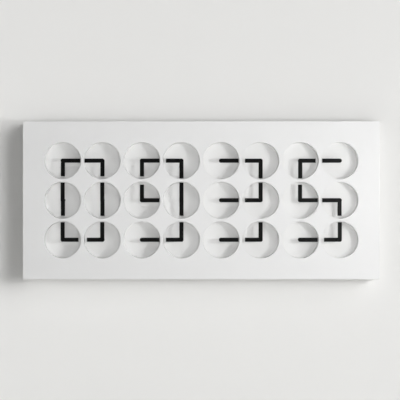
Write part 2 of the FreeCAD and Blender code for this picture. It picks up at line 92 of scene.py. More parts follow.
def finish_mesh(name, bm, *materials):
    """An object from the faces built so far, turned outwards and shaded smooth up to the crease angle."""
    bmesh.ops.remove_doubles(bm, verts=bm.verts, dist=MERGE_DISTANCE)
    bmesh.ops.recalc_face_normals(bm, faces=bm.faces)
    mesh = bpy.data.meshes.new(name)
    bm.to_mesh(mesh)
    bm.free()
    for material in materials:
        mesh.materials.append(material)
    for face in mesh.polygons:
        face.use_smooth = True
    mesh.set_sharp_from_angle(angle=CREASE_ANGLE)
    thing = new_object(name, mesh)
    even_shading(thing)
    return thing


def add_loop(bm, points):
    return [bm.verts.new(p) for p in points]


def bridge(bm, first, second, material=0):
    """Quads between two closed loops with the same number of corners."""
    count = len(first)
    for i in range(count):
        j = (i + 1) % count
        bm.faces.new((first[i], first[j], second[j], second[i])).material_index = material


def skin(bm, loops):
    """Quads from each loop to the next."""
    for first, second in zip(loops, loops[1:]):
        bridge(bm, first, second)


def cap(bm, *loops, material=0):
    """Fill a flat face whose first loop is its outline and whose other loops are holes."""
    if len(loops) == 1:
        bm.faces.new(loops[0]).material_index = material
        return
    edges = []
    for loop in loops:
        for i, corner in enumerate(loop):
            edges.append(bm.edges.get((corner, loop[(i + 1) % len(loop)])))
    filled = bmesh.ops.triangle_fill(bm, use_beauty=True, edges=edges)
    for piece in filled["geom"]:
        if isinstance(piece, bmesh.types.BMFace):
            piece.material_index = material


def quarter_round(radius):
    """Inset and depth of the points along a rounded edge, from its front to its side."""
    angles = [math.pi / 2 * i / ROUND_STEPS for i in range(ROUND_STEPS + 1)]
    return [(radius * (1 - math.sin(angle)), radius * (1 - math.cos(angle))) for angle in angles]


def ring_points(radius, y, steps):
    """An upright circle about the Y axis."""
    angles = [2 * math.pi * i / steps for i in range(steps)]
    return [(radius * math.cos(angle), y, radius * math.sin(angle)) for angle in angles]


def rounded_rectangle(half_width, half_height, radius):
    """Corners of a rounded rectangle about the origin, as (across, up) pairs, anticlockwise."""
    steps = 5
    points = []
    for corner, (side_x, side_y) in enumerate(((1, 1), (-1, 1), (-1, -1), (1, -1))):
        for i in range(steps + 1):
            angle = math.pi / 2 * (corner + i / steps)
            across = side_x * (half_width - radius) + radius * math.cos(angle)
            up = side_y * (half_height - radius) + radius * math.sin(angle)
            points.append((across, up))
    return points


def level_loop(bm, outline, middle, z):
    """A level loop of corners from an outline about the given middle."""
    return add_loop(bm, [(middle[0] + u, middle[1] + v, z) for u, v in outline])


def plan_of(low, high):
    """Middle and half sizes of a box along X and Y, from its two outermost corners."""
    middle = ((low[0] + high[0]) / 2, (low[1] + high[1]) / 2)
    half = ((high[0] - low[0]) / 2, (high[1] - low[1]) / 2)
    return middle, half


# Node helpers


def add_input(tree, name, kind, value):
    socket = tree.interface.new_socket(name, in_out="INPUT", socket_type=kind)
    socket.default_value = value


def wire(tree, source, target):
    tree.links.new(source, target)


def feed(tree, target, value):
    """Set a socket to a number, or join it to the output of another node."""
    if isinstance(value, (int, float)):
        target.default_value = value
    else:
        wire(tree, value, target)


def maths(tree, operation, first, second):
    node = tree.nodes.new("ShaderNodeMath")
    node.operation = operation
    feed(tree, node.inputs[0], first)
    feed(tree, node.inputs[1], second)
    return node.outputs[0]


def blend(tree, first, second, share):
    """The given share of the first value, and the rest of the second."""
    first_part = maths(tree, "MULTIPLY", first, share)
    second_part = maths(tree, "MULTIPLY", second, 1 - share)
    return maths(tree, "ADD", first_part, second_part)


def noise(tree, vector, scale, detail, roughness=0.5):
    node = tree.nodes.new("ShaderNodeTexNoise")
    node.inputs["Detail"].default_value = detail
    node.inputs["Roughness"].default_value = roughness
    wire(tree, vector, node.inputs["Vector"])
    feed(tree, node.inputs["Scale"], scale)
    return node.outputs["Fac"]


def tint(tree, colour, amount):
    """The colour made lighter or darker by an amount that varies about one."""
    node = tree.nodes.new("ShaderNodeVectorMath")
    node.operation = "SCALE"
    wire(tree, colour, node.inputs[0])
    wire(tree, amount, node.inputs["Scale"])
    return node.outputs[0]


def spread(tree, value, low, high):
    """Bring a noise value from its usual band into low to high."""
    node = tree.nodes.new("ShaderNodeMapRange")
    node.inputs["From Min"].default_value = 0.3
    node.inputs["From Max"].default_value = 0.7
    feed(tree, node.inputs["To Min"], low)
    feed(tree, node.inputs["To Max"], high)
    wire(tree, value, node.inputs["Value"])
    return node.outputs["Result"]


def mix_shaders(tree, factor, first, second):
    node = tree.nodes.new("ShaderNodeMixShader")
    wire(tree, factor, node.inputs["Fac"])
    wire(tree, first, node.inputs[1])
    wire(tree, second, node.inputs[2])
    return node.outputs["Shader"]


def object_place(tree):
    return tree.nodes.new("ShaderNodeTexCoord").outputs["Object"]


# What repeats on a grid: the wells, whose edges join, and the collars and cover screws, which stay apart
JOINED_WELD = 1e-6
APART_WELD = 1e-7


def grid_repeat_tree():
    """Repeats the object's own mesh on an upright grid and joins the copies along shared edges."""
    tree = bpy.data.node_groups.new("repeat_on_dial_grid", "GeometryNodeTree")
    tree.interface.new_socket("Geometry", in_out="INPUT", socket_type="NodeSocketGeometry")
    add_input(tree, "Columns", "NodeSocketInt", COLUMNS)
    add_input(tree, "Rows", "NodeSocketInt", ROWS)
    add_input(tree, "Column Pitch", "NodeSocketFloat", PITCH)
    add_input(tree, "Row Pitch", "NodeSocketFloat", PITCH)
    add_input(tree, "Weld", "NodeSocketFloat", JOINED_WELD)
    tree.interface.new_socket("Finish", in_out="INPUT", socket_type="NodeSocketMaterial")
    tree.interface.new_socket("Geometry", in_out="OUTPUT", socket_type="NodeSocketGeometry")
    given = tree.nodes.new("NodeGroupInput")
    result = tree.nodes.new("NodeGroupOutput")

    def span(count, pitch):
        """One less than the count, times the pitch."""
        gaps = maths(tree, "SUBTRACT", given.outputs[count], 1.0)
        return maths(tree, "MULTIPLY", gaps, given.outputs[pitch])

    grid = tree.nodes.new("GeometryNodeMeshGrid")
    wire(tree, span("Columns", "Column Pitch"), grid.inputs["Size X"])
    wire(tree, span("Rows", "Row Pitch"), grid.inputs["Size Y"])
    wire(tree, given.outputs["Columns"], grid.inputs["Vertices X"])
    wire(tree, given.outputs["Rows"], grid.inputs["Vertices Y"])
    upright = tree.nodes.new("GeometryNodeTransform")
    upright.inputs["Rotation"].default_value = (math.pi / 2, 0, 0)
    wire(tree, grid.outputs["Mesh"], upright.inputs["Geometry"])
    copies = tree.nodes.new("GeometryNodeInstanceOnPoints")
    wire(tree, upright.outputs["Geometry"], copies.inputs["Points"])
    wire(tree, given.outputs["Geometry"], copies.inputs["Instance"])
    real = tree.nodes.new("GeometryNodeRealizeInstances")
    wire(tree, copies.outputs["Instances"], real.inputs["Geometry"])
    weld = tree.nodes.new("GeometryNodeMergeByDistance")
    wire(tree, real.outputs["Geometry"], weld.inputs["Geometry"])
    wire(tree, given.outputs["Weld"], weld.inputs["Distance"])
    finish = tree.nodes.new("GeometryNodeSetMaterial")
    wire(tree, weld.outputs["Geometry"], finish.inputs["Geometry"])
    wire(tree, given.outputs["Finish"], finish.inputs["Material"])
    wire(tree, finish.outputs["Geometry"], result.inputs["Geometry"])
    return tree


def repeat_on_grid(tree, thing, finish, **values):
    """Run the grid tree on an object and leave it a plain mesh."""
    modifier = thing.modifiers.new("grid", "NODES")
    modifier.node_group = tree
    sockets = {item.name: item.identifier for item in tree.interface.items_tree if item.in_out == "INPUT"}
    modifier[sockets["Finish"]] = finish
    for name, value in values.items():
        modifier[sockets[name.replace("_", " ")]] = value
    plain_mesh(thing)
    thing.data.materials.clear()
    thing.data.materials.append(finish)


# Finishes


def pattern_group(name):
    """A shader group with the inputs and outputs that every pattern here has."""
    tree = bpy.data.node_groups.new(name, "ShaderNodeTree")
    add_input(tree, "Colour", "NodeSocketColor", (0.8, 0.8, 0.8, 1.0))
    add_input(tree, "Roughness", "NodeSocketFloat", 0.5)
    add_input(tree, "Fineness", "NodeSocketFloat", 1000.0)
    add_input(tree, "Tone", "NodeSocketFloat", 0.05)
    tree.interface.new_socket("Colour", in_out="OUTPUT", socket_type="NodeSocketColor")
    tree.interface.new_socket("Roughness", in_out="OUTPUT", socket_type="NodeSocketFloat")
    tree.interface.new_socket("Height", in_out="OUTPUT", socket_type="NodeSocketFloat")
    return tree, tree.nodes.new("NodeGroupInput"), tree.nodes.new("NodeGroupOutput")


def give_pattern(tree, given, out, shade, gloss, height, gloss_band):
    """Vary the colour with the shade by Tone, and the roughness with the gloss by its band."""
    low = maths(tree, "SUBTRACT", 1.0, given.outputs["Tone"])
    high = maths(tree, "ADD", 1.0, given.outputs["Tone"])
    wire(tree, tint(tree, given.outputs["Colour"], spread(tree, shade, low, high)), out.inputs["Colour"])
    change = spread(tree, gloss, 1 - gloss_band, 1 + gloss_band)
    wire(tree, maths(tree, "MULTIPLY", given.outputs["Roughness"], change), out.inputs["Roughness"])
    wire(tree, height, out.inputs["Height"])


def sprayed_coat_group():
    """Sprayed and baked coat: fine orange peel over broad, faint changes of film thickness."""
    tree, given, out = pattern_group("sprayed_coat")
    place = object_place(tree)
    fineness = given.outputs["Fineness"]
    peel = noise(tree, place, fineness, detail=1.5)
    finer = maths(tree, "MULTIPLY", fineness, 4.0)
    fleck = noise(tree, place, finer, detail=0.0)
    film = noise(tree, place, scale=9.0, detail=3.0)
    height = maths(tree, "ADD", peel, maths(tree, "MULTIPLY", fleck, 0.25))
    give_pattern(tree, given, out, film, fleck, height, gloss_band=0.07)
    return tree


def rolled_grain_group():
    """Rolled or brushed sheet: fine lines along X, with slow cloudy changes of shade."""
    tree, given, out = pattern_group("rolled_grain")
    place = object_place(tree)
    stretch = tree.nodes.new("ShaderNodeMapping")
    stretch.inputs["Scale"].default_value = (0.012, 1.0, 1.0)
    wire(tree, place, stretch.inputs["Vector"])
    lines = noise(tree, stretch.outputs["Vector"], given.outputs["Fineness"], detail=2.0)
    cloud = noise(tree, place, scale=14.0, detail=4.0)
    mixed = blend(tree, lines, cloud, share=0.55)
    give_pattern(tree, given, out, mixed, mixed, lines, gloss_band=0.18)
    return tree


def zinc_spangle_group():
    """Zinc plate: small crystal patches, each of its own shade."""
    tree, given, out = pattern_group("zinc_spangle")
    place = object_place(tree)
    patches = tree.nodes.new("ShaderNodeTexVoronoi")
    wire(tree, place, patches.inputs["Vector"])
    wire(tree, given.outputs["Fineness"], patches.inputs["Scale"])
    shade = tree.nodes.new("ShaderNodeSeparateColor")
    wire(tree, patches.outputs["Color"], shade.inputs["Color"])
    frost = noise(tree, place, scale=1800.0, detail=1.0)
    mixed = blend(tree, shade.outputs["Red"], frost, share=0.6)
    give_pattern(tree, given, out, mixed, mixed, frost, gloss_band=0.2)
    return tree


def moulded_skin_group():
    """Moulded plastic: a fine spark-eroded skin."""
    tree, given, out = pattern_group("moulded_skin")
    pores = noise(tree, object_place(tree), given.outputs["Fineness"], detail=2.0, roughness=0.6)
    give_pattern(tree, given, out, pores, pores, pores, gloss_band=0.1)
    return tree


def finish_material(
    name, group, colour, roughness, fineness, tone, bump, bump_distance=0.0001, metallic=0.0, specular=0.5
):
    """A finish whose colour, roughness and relief come from one pattern group."""
    material = bpy.data.materials.new(name)
    material.use_nodes = True
    tree = material.node_tree
    shader = next(n for n in tree.nodes if n.type == "BSDF_PRINCIPLED")
    shader.inputs["Metallic"].default_value = metallic
    shader.inputs["Specular IOR Level"].default_value = specular
    pattern = tree.nodes.new("ShaderNodeGroup")
    pattern.node_tree = group
    pattern.inputs["Colour"].default_value = (*colour, 1.0)
    pattern.inputs["Roughness"].default_value = roughness
    pattern.inputs["Fineness"].default_value = fineness
    pattern.inputs["Tone"].default_value = tone
    relief = tree.nodes.new("ShaderNodeBump")
    relief.inputs["Strength"].default_value = bump
    relief.inputs["Distance"].default_value = bump_distance
    wire(tree, pattern.outputs["Height"], relief.inputs["Height"])
    wire(tree, pattern.outputs["Colour"], shader.inputs["Base Color"])
    wire(tree, pattern.outputs["Roughness"], shader.inputs["Roughness"])
    wire(tree, relief.outputs["Normal"], shader.inputs["Normal"])
    return material


coat = sprayed_coat_group()
grain = rolled_grain_group()
zinc = zinc_spangle_group()
moulded = moulded_skin_group()

white_coat = finish_material(
    "white_powder_coat",
    coat,
    colour=(0.85, 0.85, 0.848),
    roughness=0.42,
    fineness=950.0,
    tone=0.006,
    bump=0.12,
    bump_distance=0.0003,
)
dial_coat = finish_material(
    "white_dial_coat",
    coat,
    colour=(0.85, 0.85, 0.842),
    roughness=0.5,
    fineness=1100.0,
    tone=0.006,
    bump=0.1,
    bump_distance=0.0003,
)
hand_lacquer = finish_material(
    "black_hand_lacquer",
    coat,
    colour=(0.0012, 0.0012, 0.0012),
    roughness=0.42,
    fineness=2400.0,
    tone=0.15,
    bump=0.1,
    specular=0.4,
)
arbor_steel = finish_material(
    "ground_arbor_steel",
    grain,
    colour=(0.6, 0.6, 0.61),
    roughness=0.3,
    fineness=3000.0,
    tone=0.1,
    bump=0.1,
    metallic=1.0,
)
bare_aluminium = finish_material(
    "bare_aluminium",
    grain,
    colour=(0.74, 0.75, 0.76),
    roughness=0.42,
    fineness=2400.0,
    tone=0.06,
    bump=0.15,
    metallic=1.0,
)
socket_metal = finish_material(
    "nickel_contact",
    grain,
    colour=(0.7, 0.68, 0.64),
    roughness=0.25,
    fineness=3000.0,
    tone=0.06,
    bump=0.08,
    metallic=1.0,
)
spacer_brass = finish_material(
    "brass_spacer",
    grain,
    colour=(0.78, 0.58, 0.26),
    roughness=0.3,
    fineness=2600.0,
    tone=0.07,
    bump=0.1,
    metallic=1.0,
)
zinc_steel = finish_material(
    "zinc_steel",
    zinc,
    colour=(0.62, 0.63, 0.65),
    roughness=0.36,
    fineness=160.0,
    tone=0.05,
    bump=0.12,
    metallic=1.0,
)
black_moulding = finish_material(
    "black_moulding",
    moulded,
    colour=(0.012, 0.012, 0.0125),
    roughness=0.48,
    fineness=2200.0,
    tone=0.12,
    bump=0.2,
)
grey_button = finish_material(
    "grey_button",
    moulded,
    colour=(0.5, 0.5, 0.5),
    roughness=0.48,
    fineness=2600.0,
    tone=0.05,
    bump=0.2,
)
green_board = finish_material(
    "green_board",
    moulded,
    colour=(0.02, 0.15, 0.06),
    roughness=0.35,
    fineness=500.0,
    tone=0.25,
    bump=0.2,
)

for node, material in (
    ("chassis_plate", dial_coat),
    ("movement_cases", black_moulding),
    ("circuit_boards", green_board),
    ("hex_spacers", spacer_brass),
    ("rear_cover", bare_aluminium),
    ("wall_bracket", zinc_steel),
):
    node_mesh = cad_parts[node].data
    node_mesh.materials.clear()
    node_mesh.materials.append(material)

# Casing: a block of square cells with a well each, and the rim round the block
BLOCK_HALF_WIDTH = COLUMNS * PITCH / 2
BLOCK_HALF_HEIGHT = ROWS * PITCH / 2
WELL_RADIUS = 0.052
WELL_ROUND = 0.0004
WELL_STEPS = 96
FACE_THICKNESS = 0.003
RIM_WALL = 0.004
RIM_CORNER = 0.0008
LEDGE_WALL = 0.0065
LEDGE_CORNER = 0.0006
EDGE_ROUND = 0.0008
BACK_ROUND = 0.0003
CORNER_RADIUS = 0.0015
CORNER_STEPS = 4

# Openings in the underside, and the fittings in them
BUTTONS = ("mode_button", "minus_button", "plus_button")
FLANGE = 0.001
FITTING_CORNER = 0.0008
OPENING_GAP = 0.00015
CUT_OVERLAP = 0.001


def dial_cell():
    """One square of the face with its round well, open at the dial floor."""
    bm = bmesh.new()
    square = []
    for i in range(WELL_STEPS):
        angle = 2 * math.pi * i / WELL_STEPS
        across, up = math.cos(angle), math.sin(angle)
        reach = PITCH / 2 / max(abs(across), abs(up))
        square.append((reach * across, reach * up))
    front = add_loop(bm, [(x, FACE_Y, z) for x, z in square])
    back = add_loop(bm, [(x, FLOOR_Y, z) for x, z in square])
    profile = [(WELL_RADIUS + inset, FACE_Y + depth) for inset, depth in quarter_round(WELL_ROUND)]
    profile.append((WELL_RADIUS, FLOOR_Y))
    rings = [add_loop(bm, ring_points(radius, y, WELL_STEPS)) for radius, y in profile]
    skin(bm, [front] + rings + [back])
    return finish_mesh("dial_cell", bm)


def block_outline():
    """The corners where the outermost cells meet the rest of the face, anticlockwise, side by side."""
    steps = WELL_STEPS // 8
    offsets = [PITCH / 2 * math.tan(math.pi / 4 * i / steps) for i in range(-steps, steps)]

    def along(count):
        middles = [(i - (count - 1) / 2) * PITCH for i in range(count)]
        return [middle + offset for middle in middles for offset in offsets]

    return [
        [(BLOCK_HALF_WIDTH, u) for u in along(ROWS)],
        [(-u, BLOCK_HALF_HEIGHT) for u in along(COLUMNS)],
        [(-BLOCK_HALF_WIDTH, -u) for u in along(ROWS)],
        [(u, -BLOCK_HALF_HEIGHT) for u in along(COLUMNS)],
    ]


def casing_rim(bm):
    """Everything round the block of wells: face border, edges, rim walls, ledge and hollow channel."""
    sides = block_outline()

    def block_loop(y):
        return add_loop(bm, [(x, y, z) for corners in sides for x, z in corners])

    def rounded_loop(inset, y, radius):
        """The block's outline spread to the casing's outline less an inset, with round corners."""
        half_width, half_height = HALF_WIDTH - inset, HALF_HEIGHT - inset
        points = []
        for side, corners in enumerate(sides):
            for i, (x, z) in enumerate(corners):
                spread_x = x / BLOCK_HALF_WIDTH * half_width
                spread_z = z / BLOCK_HALF_HEIGHT * half_height
                if i:
                    points.append((spread_x, y, spread_z))
                    continue
                centre_x = math.copysign(half_width - radius, spread_x)
                centre_z = math.copysign(half_height - radius, spread_z)
                for k in range(CORNER_STEPS + 1):
                    angle = math.pi / 2 * (side - 1 + k / CORNER_STEPS)
                    across = centre_x + radius * math.cos(angle)
                    up = centre_z + radius * math.sin(angle)
                    points.append((across, y, up))
        return add_loop(bm, points)

    def join_sharp_to_round(sharp, rounded):
        """Join a block loop to a rounded loop, with a fan of triangles at each corner."""
        corner_starts = [sum(len(corners) for corners in sides[:i]) for i in range(len(sides))]
        at = 0
        firsts, lasts = [], []
        for i in range(len(sharp)):
            firsts.append(rounded[at])
            if i in corner_starts:
                for k in range(CORNER_STEPS):
                    bm.faces.new((sharp[i], rounded[at + k], rounded[at + k + 1]))
                at += CORNER_STEPS
            lasts.append(rounded[at])
            at += 1
        for i in range(len(sharp)):
            j = (i + 1) % len(sharp)
            bm.faces.new((sharp[i], lasts[i], firsts[j], sharp[j]))

    channel_y = FACE_Y + FACE_THICKNESS
    inner_front = block_loop(FACE_Y)
    inner_back = block_loop(FLOOR_Y)
    inner_channel = block_loop(channel_y)
    stations = [(inset, FACE_Y + depth, CORNER_RADIUS - inset) for inset, depth in quarter_round(EDGE_ROUND)]
    stations += [
        (0.0, -BACK_ROUND, CORNER_RADIUS),
        (BACK_ROUND, 0.0, CORNER_RADIUS - BACK_ROUND),
        (RIM_WALL, 0.0, RIM_CORNER),
        (RIM_WALL, FLOOR_Y, RIM_CORNER),
        (LEDGE_WALL, FLOOR_Y, LEDGE_CORNER),
        (LEDGE_WALL, channel_y, LEDGE_CORNER),
    ]
    outer = [rounded_loop(*station) for station in stations]
    skin(bm, outer)
    join_sharp_to_round(inner_front, outer[0])
    join_sharp_to_round(inner_channel, outer[-1])
    bridge(bm, inner_channel, inner_back)


def cut_underside(casing):
    """Round-cornered openings in the bottom wall for the socket and the buttons."""
    bm = bmesh.new()
    for node in ("power_inlet", *BUTTONS):
        low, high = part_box(node)
        middle, half = plan_of(low, high)
        margin = OPENING_GAP - (FLANGE if node in BUTTONS else 0.0)
        outline = rounded_rectangle(half[0] + margin, half[1] + margin, FITTING_CORNER + OPENING_GAP)
        below = level_loop(bm, outline, middle, -HALF_HEIGHT - CUT_OVERLAP)
        above = level_loop(bm, outline, middle, -HALF_HEIGHT + RIM_WALL + CUT_OVERLAP)
        bridge(bm, below, above)
        cap(bm, below)
        cap(bm, above)
    cutter = finish_mesh("underside_cutter", bm)
    cut = casing.modifiers.new("underside", "BOOLEAN")
    cut.operation = "DIFFERENCE"
    cut.solver = "EXACT"
    cut.object = cutter
    plain_mesh(casing)
    bpy.data.objects.remove(cutter)


def make_casing(tree):
    block = dial_cell()
    repeat_on_grid(tree, block, white_coat)
    bm = bmesh.new()
    bm.from_mesh(block.data)
    bpy.data.objects.remove(block)
    casing_rim(bm)
    casing = finish_mesh("casing_shell", bm, white_coat)
    cut_underside(casing)
    casing.data.set_sharp_from_angle(angle=CREASE_ANGLE)
    even_shading(casing)
    return casing


repeat_tree = grid_repeat_tree()
casing = make_casing(repeat_tree)
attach(casing, "root")
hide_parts("front_casing")

# Movement collars
COLLAR_HEIGHT = 0.00153
COLLAR_RADIUS = 0.0044
COLLAR_BORE = 0.00215
COLLAR_CHAMFER_WIDTH = 0.00025
COLLAR_CHAMFER_HEIGHT = 0.0002
COLLAR_ROUND = 0.0005
COLLAR_STEPS = 40


def make_collars(tree):
    """A round bush nut at the middle of each dial floor, bored for the hour tube."""
    bm = bmesh.new()
    front = FLOOR_Y - COLLAR_HEIGHT
    profile = [
        (COLLAR_BORE, FLOOR_Y),
        (COLLAR_BORE, front + COLLAR_CHAMFER_HEIGHT),
        (COLLAR_BORE + COLLAR_CHAMFER_WIDTH, front),
        (COLLAR_RADIUS - COLLAR_ROUND, front),
        (COLLAR_RADIUS - COLLAR_ROUND * ROUND_MIDDLE, front + COLLAR_CHAMFER_HEIGHT),
        (COLLAR_RADIUS, front + COLLAR_ROUND),
        (COLLAR_RADIUS, FLOOR_Y),
    ]
    rings = [add_loop(bm, ring_points(radius, y, COLLAR_STEPS)) for radius, y in profile]
    skin(bm, rings + rings[:1])
    collars = finish_mesh("movement_collars", bm)
    repeat_on_grid(tree, collars, black_moulding, Weld=APART_WELD)
    return collars


collars = make_collars(repeat_tree)
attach(collars, "root")

# Hands
QUARTER_TURN = math.pi / 2
BLADE_WIDTH = 0.0115
BLADE_THICKNESS = 0.0012
BLADE_ROUND = 0.00018
TIP_CORNER = 0.0006
TIP_STEPS = 3
PIVOT_STEPS = 24
ARBOR_STEPS = 32
MINUTE_REACH = 0.0497
MINUTE_ARBOR_RADIUS = 0.00075
HOUR_REACH = 0.044
HOUR_TUBE_RADIUS = 0.002
HOUR_BORE_RADIUS = 0.0008


def blade_outline(reach, inset):
    """Square-ended blade with a round pivot end, pointing along +X about the pivot."""
    half = BLADE_WIDTH / 2 - inset
    corner = TIP_CORNER - inset
    centre = reach - inset - corner
    points = []
    for side, start in ((-1, -QUARTER_TURN), (1, 0.0)):
        for i in range(TIP_STEPS + 1):
            angle = start + QUARTER_TURN * i / TIP_STEPS
            along = centre + corner * math.cos(angle)
            across = side * (half - corner) + corner * math.sin(angle)
            points.append((along, across))
    for i in range(PIVOT_STEPS + 1):
        angle = QUARTER_TURN + math.pi * i / PIVOT_STEPS
        points.append((half * math.cos(angle), half * math.sin(angle)))
    return points


def make_hand(name, node, reach, arbor_radius, bore_radius, x, z):
    """A lacquered blade on its steel arbor, set at the way that the solid hand points."""
    low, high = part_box(node)
    turn = math.atan2((low[2] + high[2]) / 2 - z, (low[0] + high[0]) / 2 - x)
    turn = QUARTER_TURN * round(turn / QUARTER_TURN)
    front = low[1]
    back = front + BLADE_THICKNESS
    arbor_end = high[1]
    middle = BLADE_ROUND * ROUND_MIDDLE
    bm = bmesh.new()
    stations = [
        (BLADE_ROUND, front),
        (middle, front + middle),
        (0.0, front + BLADE_ROUND),
        (0.0, back - BLADE_ROUND),
        (middle, back - middle),
        (BLADE_ROUND, back),
    ]
    loops = [add_loop(bm, [(u, y, v) for u, v in blade_outline(reach, inset)]) for inset, y in stations]
    skin(bm, loops)
    root = add_loop(bm, ring_points(arbor_radius, back, ARBOR_STEPS))
    end = add_loop(bm, ring_points(arbor_radius, arbor_end, ARBOR_STEPS))
    bridge(bm, root, end, material=1)
    cap(bm, loops[-1], root)
    if bore_radius:
        bore_front = add_loop(bm, ring_points(bore_radius, front, ARBOR_STEPS))
        bore_end = add_loop(bm, ring_points(bore_radius, arbor_end, ARBOR_STEPS))
        bridge(bm, bore_front, bore_end, material=1)
        bridge(bm, end, bore_end, material=1)
        cap(bm, loops[0], bore_front)
    else:
        cap(bm, loops[0])
        cap(bm, end, material=1)
    place = Matrix.Translation((x, 0, z)) @ Matrix.Rotation(-turn, 4, "Y")
    bmesh.ops.transform(bm, matrix=place, verts=bm.verts)
    return finish_mesh(name, bm, hand_lacquer, arbor_steel)


for place, x, z in DIALS:
    for kind, reach, arbor_radius, bore_radius in (
        ("minute", MINUTE_REACH, MINUTE_ARBOR_RADIUS, None),
        ("hour", HOUR_REACH, HOUR_TUBE_RADIUS, HOUR_BORE_RADIUS),
    ):
        node = f"{kind}_hand_{place}"
        hand = make_hand(f"{kind}_blade_{place}", node, reach, arbor_radius, bore_radius, x, z)
        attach(hand, node)
        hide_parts(node)

# Cover screws
SCREW_COLUMNS = 3
SCREW_ROWS = 2
SCREW_STEPS = 24
SHANK_RADIUS = 0.0015
WASHER_RADIUS = 0.003
WASHER_THICKNESS = 0.0003
HEAD_CORNER = 0.0032
HEAD_HEIGHT = 0.002
HEAD_START = 0.0002
HEAD_CHAMFER = 0.0005
HEAD_ROUND = 0.0001
HEAD_ROUND_RADIUS = 0.00285
HEAD_TOP_RADIUS = 0.0026
HEX_SIDE = math.pi / 3


def make_cover_screws(tree):
    """Hexagon heads with a chamfered top, a washer face and a shank, through the rear cover."""
    low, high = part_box("cover_screws")
    flat_radius = HEAD_CORNER * math.cos(HEX_SIDE / 2)
    pitch_x = (high[0] - low[0] - 2 * HEAD_CORNER) / (SCREW_COLUMNS - 1)
    pitch_z = (high[2] - low[2] - 2 * flat_radius) / (SCREW_ROWS - 1)
    head_back = high[1]
    head_base = head_back - HEAD_HEIGHT
    bm = bmesh.new()

    def hexagon(limit, y):
        """The head's six-sided outline, cut down to a circle of the given radius."""
        points = []
        for i in range(SCREW_STEPS):
            angle = 2 * math.pi * i / SCREW_STEPS
            from_flat = (angle + HEX_SIDE / 2) % HEX_SIDE - HEX_SIDE / 2
            radius = min(flat_radius / math.cos(from_flat), limit)
            points.append((radius * math.sin(angle), y, radius * math.cos(angle)))
        return add_loop(bm, points)

    shank = [
        (SHANK_RADIUS, low[1]),
        (SHANK_RADIUS, head_base),
        (WASHER_RADIUS, head_base),
        (WASHER_RADIUS, head_base + WASHER_THICKNESS),
    ]
    head = [
        (HEAD_CORNER, head_base + HEAD_START),
        (HEAD_CORNER, head_back - HEAD_CHAMFER),
        (HEAD_ROUND_RADIUS, head_back - HEAD_ROUND),
        (HEAD_TOP_RADIUS, head_back),
    ]
    rounds = [add_loop(bm, ring_points(radius, y, SCREW_STEPS)) for radius, y in shank]
    hexes = [hexagon(limit, y) for limit, y in head]
    for loops in (rounds, hexes):
        skin(bm, loops)
        cap(bm, loops[0])
        cap(bm, loops[-1])
    screws = finish_mesh("cover_screw_heads", bm)
    repeat_on_grid(
        tree,
        screws,
        zinc_steel,
        Columns=SCREW_COLUMNS,
        Rows=SCREW_ROWS,
        Column_Pitch=pitch_x,
        Row_Pitch=pitch_z,
        Weld=APART_WELD,
    )
    return screws


screws = make_cover_screws(repeat_tree)
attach(screws, "root")
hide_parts("cover_screws")

# Socket and buttons in the underside
SOCKET_STEPS = 36
SOCKET_EDGE = 0.0003
SOCKET_FRONT_CORNER = 0.0005
MOUTH_RADIUS = 0.0034
MOUTH_CHAMFER = 0.0004
BARREL_RADIUS = 0.0031
BARREL_DEPTH = 0.01
LINER_DEPTH = 0.0012
PIN_RADIUS = 0.001
PIN_SHOULDER_DEPTH = 0.0014
PIN_TIP_RADIUS = 0.0006
PIN_TIP_DEPTH = 0.001
BUTTON_EDGE = 0.0004

# Loops of a button's pressing face from its middle outwards: inset along X and Y, corner radius, height
BUTTON_FACE = (
    (0.0016, 0.0014, 0.0006, 0.00022),
    (0.0009, 0.0008, 0.0006, 0.0001),
    (0.0004, 0.0004, 0.0006, 0.0),
    (0.0001, 0.0001, 0.0007, 0.0001),
)


def make_socket():
    """Barrel socket: a moulded body with a rounded mouth, a lined bore and its centre pin."""
    low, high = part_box("power_inlet")
    middle, half = plan_of(low, high)
    bottom, top = low[2], high[2]
    bm = bmesh.new()

    def circle(radius, depth):
        angles = [2 * math.pi * i / SOCKET_STEPS for i in range(SOCKET_STEPS)]
        outline = [(radius * math.cos(angle), radius * math.sin(angle)) for angle in angles]
        return level_loop(bm, outline, middle, bottom + depth)

    full = rounded_rectangle(*half, FITTING_CORNER)
    front = rounded_rectangle(half[0] - SOCKET_EDGE, half[1] - SOCKET_EDGE, SOCKET_FRONT_CORNER)
    body = [
        level_loop(bm, front, middle, bottom),
        level_loop(bm, full, middle, bottom + SOCKET_EDGE),
        level_loop(bm, full, middle, top),
    ]
    skin(bm, body)
    cap(bm, body[-1])
    mouth = circle(MOUTH_RADIUS, 0.0)
    chamfer = circle(BARREL_RADIUS, MOUTH_CHAMFER)
    liner = circle(BARREL_RADIUS, LINER_DEPTH)
    barrel_end = circle(BARREL_RADIUS, BARREL_DEPTH)
    pin_root = circle(PIN_RADIUS, BARREL_DEPTH)
    pin_side = circle(PIN_RADIUS, PIN_SHOULDER_DEPTH)
    pin_tip = circle(PIN_TIP_RADIUS, PIN_TIP_DEPTH)
    skin(bm, [mouth, chamfer, liner])
    cap(bm, body[0], mouth)
    bridge(bm, liner, barrel_end, material=1)
    bridge(bm, barrel_end, pin_root)
    bridge(bm, pin_root, pin_side, material=1)
    bridge(bm, pin_side, pin_tip, material=1)
    cap(bm, pin_tip, material=1)
    return finish_mesh("barrel_socket", bm, black_moulding, socket_metal)


